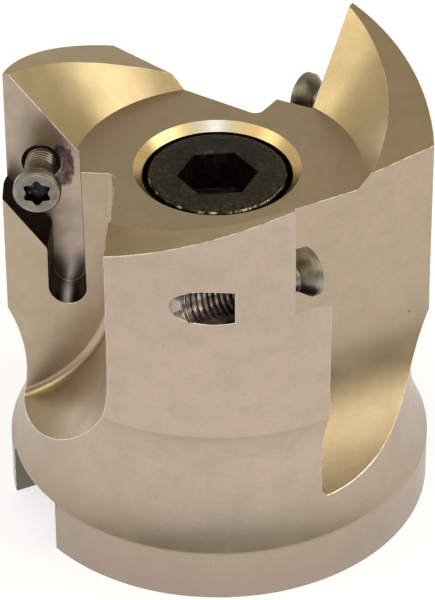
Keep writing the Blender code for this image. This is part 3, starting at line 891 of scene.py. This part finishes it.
# ---- arbor screw --------------------------------------------------------------------------------
def black_oxide():
    """Blackened steel: grainy, scuffed brown-grey in a ring near the rim and round the socket."""
    black = Shader("black_oxide", (0.018, 0.016, 0.016), 0.38, 0.75)
    grain = black.spread(black.noise(1900.0, 4.0, roughness=0.75), 0.0, 1.0, 0.46, 0.66)
    scuff = black.spread(black.noise(420.0, 4.0, (1.0, 1.0, 0.2), 0.7), 0.0, 1.0, 0.44, 0.66)
    worn = black.maths("MULTIPLY", grain, scuff)
    cloud = black.spread(black.noise(1300.0, 3.0), 0.0, 1.0)
    dark = black.blend(cloud, (0.009, 0.007, 0.008), (0.028, 0.022, 0.022))
    middle = black.blend(worn, dark, (0.095, 0.078, 0.062))
    rim = black.blend(grain, dark, (0.085, 0.070, 0.056))
    inner = black.patch((0.0, 0.0, 0.0), (1.0, 1.0, 0.0), 6.5 * MM, 7.5 * MM)
    black.colour(black.blend(inner, rim, middle))
    black.rough(black.spread(black.noise(900.0, 3.0), 0.26, 0.50))
    black.bump([(black.noise(1700.0, 4.0, roughness=0.7), 0.028), (black.noise(500.0, 2.0), 0.02)])
    return black.material


def rubbed_steel():
    """Black finish rubbed through to steel along edges."""
    rubbed = Shader("rubbed_edge", (0.16, 0.15, 0.13), 0.24)
    wear = rubbed.spread(rubbed.noise(900.0, 4.0, roughness=0.7), 0.0, 1.0, 0.48, 0.62)
    rubbed.colour(rubbed.blend(wear, (0.020, 0.018, 0.017), (0.50, 0.46, 0.40)))
    rubbed.rough(rubbed.spread(rubbed.noise(900.0, 3.0), 0.18, 0.36))
    rubbed.bump([(rubbed.noise(2600.0, 3.0), 0.010)])
    return rubbed.material


def arbor_screw_profile(end):
    """(radius, height, slot of the band that starts there) from the head's top to the tip."""
    black, rubbed = range(2)
    head, top = ARBOR_HEAD_RADIUS, ARBOR_HEAD_HEIGHT
    shank, root = ARBOR_SHANK_RADIUS, ARBOR_SHANK_RADIUS - ARBOR_THREAD_ROOT
    rows = [(0.0, top, black), (head - 0.55, top, black), (head - 0.45, top - 0.02, black)]
    rows += [(head - 0.22, top - 0.14, rubbed), (head - 0.06, top - 0.30, rubbed)]
    rows += [(head - 0.02, top - 0.48, black), (head - 0.02, 0.25, black), (head - 0.3, 0.0, black)]
    rows += [(shank + 0.45, 0.0, black), (shank - 0.02, -0.4, black)]
    rows += [(shank - 0.04, -ARBOR_THREAD_START + 0.9, black)]
    threaded = thread_rows(root, ARBOR_THREAD_START, end, ARBOR_ROW_SPACING)
    rows += [(radius, height, black) for radius, height in threaded]
    return rows + [(root - 0.4, -ARBOR_SHANK_LENGTH, black), (0.0, -ARBOR_SHANK_LENGTH, black)]


def hex_outlines():
    """The socket from above the head down to its drilled point."""
    top, foot = ARBOR_HEAD_HEIGHT, ARBOR_HEAD_HEIGHT - ARBOR_SOCKET_DEPTH
    across = ARBOR_SOCKET_FLATS / math.sqrt(3)
    levels = [(top + 1.0, 1.07), (top, 1.07), (top - ARBOR_SOCKET_CHAMFER, 1.0), (foot, 1.0)]
    levels += [(foot - ARBOR_SOCKET_CONE, 0.12)]
    turns = [math.radians(ARBOR_SOCKET_TURN + 60 * corner) for corner in range(6)]
    return [[(across * scale * math.cos(turn), across * scale * math.sin(turn), height)
             for turn in turns] for height, scale in levels]


def make_arbor_screw():
    place = Matrix.Translation((0.0, 0.0, (SHOULDER_HEIGHT + ARBOR_HEAD_GAP) * MM))
    end = ARBOR_SHANK_LENGTH - ARBOR_END_CHAMFER
    rows = arbor_screw_profile(end)
    metals = [black_oxide(), rubbed_steel()]
    swell = screw_thread(ARBOR_THREAD_START, end, ARBOR_THREAD_FADE, ARBOR_THREAD_DEPTH,
                         ARBOR_THREAD_PITCH)
    mesh = lathe("socket_screw", [(radius, height) for radius, height, _ in rows], ARBOR_STEPS,
                 kinds=[kind for _, _, kind in rows], materials=metals, swell=swell)
    screw = new_object("socket_screw", mesh, place)
    cut(screw, loft("hex", hex_outlines(), metals), place)
    bevel = break_edges(screw, ARBOR_EDGE_BREAK, "ANGLE")
    bevel.angle_limit = math.radians(ARBOR_EDGE_ANGLE)
    apply_modifiers(screw)
    smooth(screw, SCREW_SHARP_ANGLE)
    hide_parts("arbor_screw")
    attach(screw, "arbor_screw")


# ---- floor, light and camera --------------------------------------------------------------------
FLOOR_SIZE = 3.0
FLOOR_COLOUR = (0.45, 0.45, 0.50)
FLOOR_GLOW = (0.96, 0.97, 1.0)
FLOOR_GLOW_STRENGTH = 0.72

ROOM_COLOUR = (1.05, 0.95, 0.66)
# (sine of the elevation, brightness) from the horizon up, on the camera's side and behind the mill
FRONT_ROOM = [(0.0, 0.14), (0.30, 0.30), (0.64, 1.00), (0.85, 1.05), (1.0, 0.66)]
BACK_ROOM = [(0.0, 0.60), (0.30, 0.62), (0.60, 0.48), (0.85, 0.48), (1.0, 0.56)]
# Y of a direction where the front's light starts to fade into the back's, and where it ends
ROOM_FRONT_LIMIT = -0.45
ROOM_BACK_LIMIT = 0.30

# name, azimuth from straight behind towards the right, elevation, width, height, brightness, colour
SOFTBOXES = (
    ("right_softbox", 100.0, 33.0, 0.60, 0.52, 1.9, (1.0, 0.97, 0.74)),
    ("left_softbox", -99.0, 30.0, 0.50, 0.42, 1.55, (1.0, 0.95, 0.68)),
    ("front_softbox", 176.0, 53.0, 0.26, 0.22, 1.5, (0.97, 0.98, 1.0)),
)
SOFTBOX_DISTANCE = 0.8

CAMERA_LENS = 225.15
CAMERA_SENSOR = 36.0
CAMERA_NEAR = 0.01
CAMERA_PLACE = (-0.0000962, -0.3578799, 0.2890775)
CAMERA_ELEVATION = 36.437
CAMERA_ROLL = -0.425


def make_stage():
    shape = bmesh.new()
    bmesh.ops.create_grid(shape, x_segments=1, y_segments=1, size=FLOOR_SIZE)
    mesh = bpy.data.meshes.new("studio_floor")
    shape.to_mesh(mesh)
    shape.free()
    floor = new_object("studio_floor", mesh)
    paint = Shader("pale_floor", FLOOR_COLOUR, 0.7, 0.0)
    paint.principled.inputs["Emission Color"].default_value = (*FLOOR_GLOW, 1.0)
    paint.principled.inputs["Emission Strength"].default_value = FLOOR_GLOW_STRENGTH
    mesh.materials.append(paint.material)


def make_room():
    """A light tent: bright high up on the camera's side and dark low down there, dim elsewhere."""
    world = bpy.data.worlds.new("studio")
    bpy.context.scene.world = world
    world.use_nodes = True
    tree = world.node_tree
    place = tree.nodes.new("ShaderNodeTexCoord")
    split = tree.nodes.new("ShaderNodeSeparateXYZ")
    tree.links.new(place.outputs["Generated"], split.inputs[0])
    facing = tree.nodes.new("ShaderNodeMapRange")
    facing.interpolation_type = "SMOOTHSTEP"
    facing.inputs["From Min"].default_value = ROOM_FRONT_LIMIT
    facing.inputs["From Max"].default_value = ROOM_BACK_LIMIT
    tree.links.new(split.outputs["Y"], facing.inputs["Value"])
    mix = tree.nodes.new("ShaderNodeMix")
    mix.data_type = "RGBA"
    tree.links.new(facing.outputs["Result"], mix.inputs[MIX_FACTOR])
    for stops, socket in ((FRONT_ROOM, MIX_FIRST), (BACK_ROOM, MIX_SECOND)):
        ramp = tree.nodes.new("ShaderNodeValToRGB")
        tree.links.new(split.outputs["Z"], ramp.inputs[0])
        elements = ramp.color_ramp.elements
        while len(elements) < len(stops):
            elements.new(0.5)
        for element, (position, level) in zip(elements, stops):
            element.position = position
            element.color = (*shade(ROOM_COLOUR, level), 1.0)
        tree.links.new(ramp.outputs["Color"], mix.inputs[socket])
    background = tree.nodes["Background"]
    tree.links.new(mix.outputs[MIX_RESULT], background.inputs["Color"])
    background.inputs["Strength"].default_value = 1.0


def make_softboxes():
    for name, azimuth, elevation, width, height, brightness, colour in SOFTBOXES:
        turn, rise = math.radians(azimuth), math.radians(elevation)
        flat = SOFTBOX_DISTANCE * math.cos(rise)
        up = SOFTBOX_DISTANCE * math.sin(rise)
        place = Vector((flat * math.sin(turn), flat * math.cos(turn), up))
        lamp = bpy.data.lights.new(name, "AREA")
        lamp.shape = "ELLIPSE"
        lamp.size = width
        lamp.size_y = height
        lamp.energy = brightness * math.pi * width * height * math.pi / 4
        lamp.color = colour
        aim = place.to_track_quat("Z", "Y").to_matrix().to_4x4()
        new_object(name, lamp, Matrix.Translation(place) @ aim)


def make_camera():
    camera = bpy.data.cameras.new("camera")
    camera.lens = CAMERA_LENS
    camera.sensor_width = CAMERA_SENSOR
    camera.clip_start = CAMERA_NEAR
    place = Matrix.Translation(CAMERA_PLACE)
    tilt = Matrix.Rotation(math.radians(90.0 - CAMERA_ELEVATION), 4, "X")
    roll = Matrix.Rotation(math.radians(CAMERA_ROLL), 4, "Z")
    bpy.context.scene.camera = new_object("camera", camera, place @ tilt @ roll)


make_body()
make_insert_screws()
make_arbor_screw()
make_stage()
make_room()
make_softboxes()
make_camera()
bpy.context.scene.view_settings.view_transform = "Standard"
bpy.context.view_layer.update()
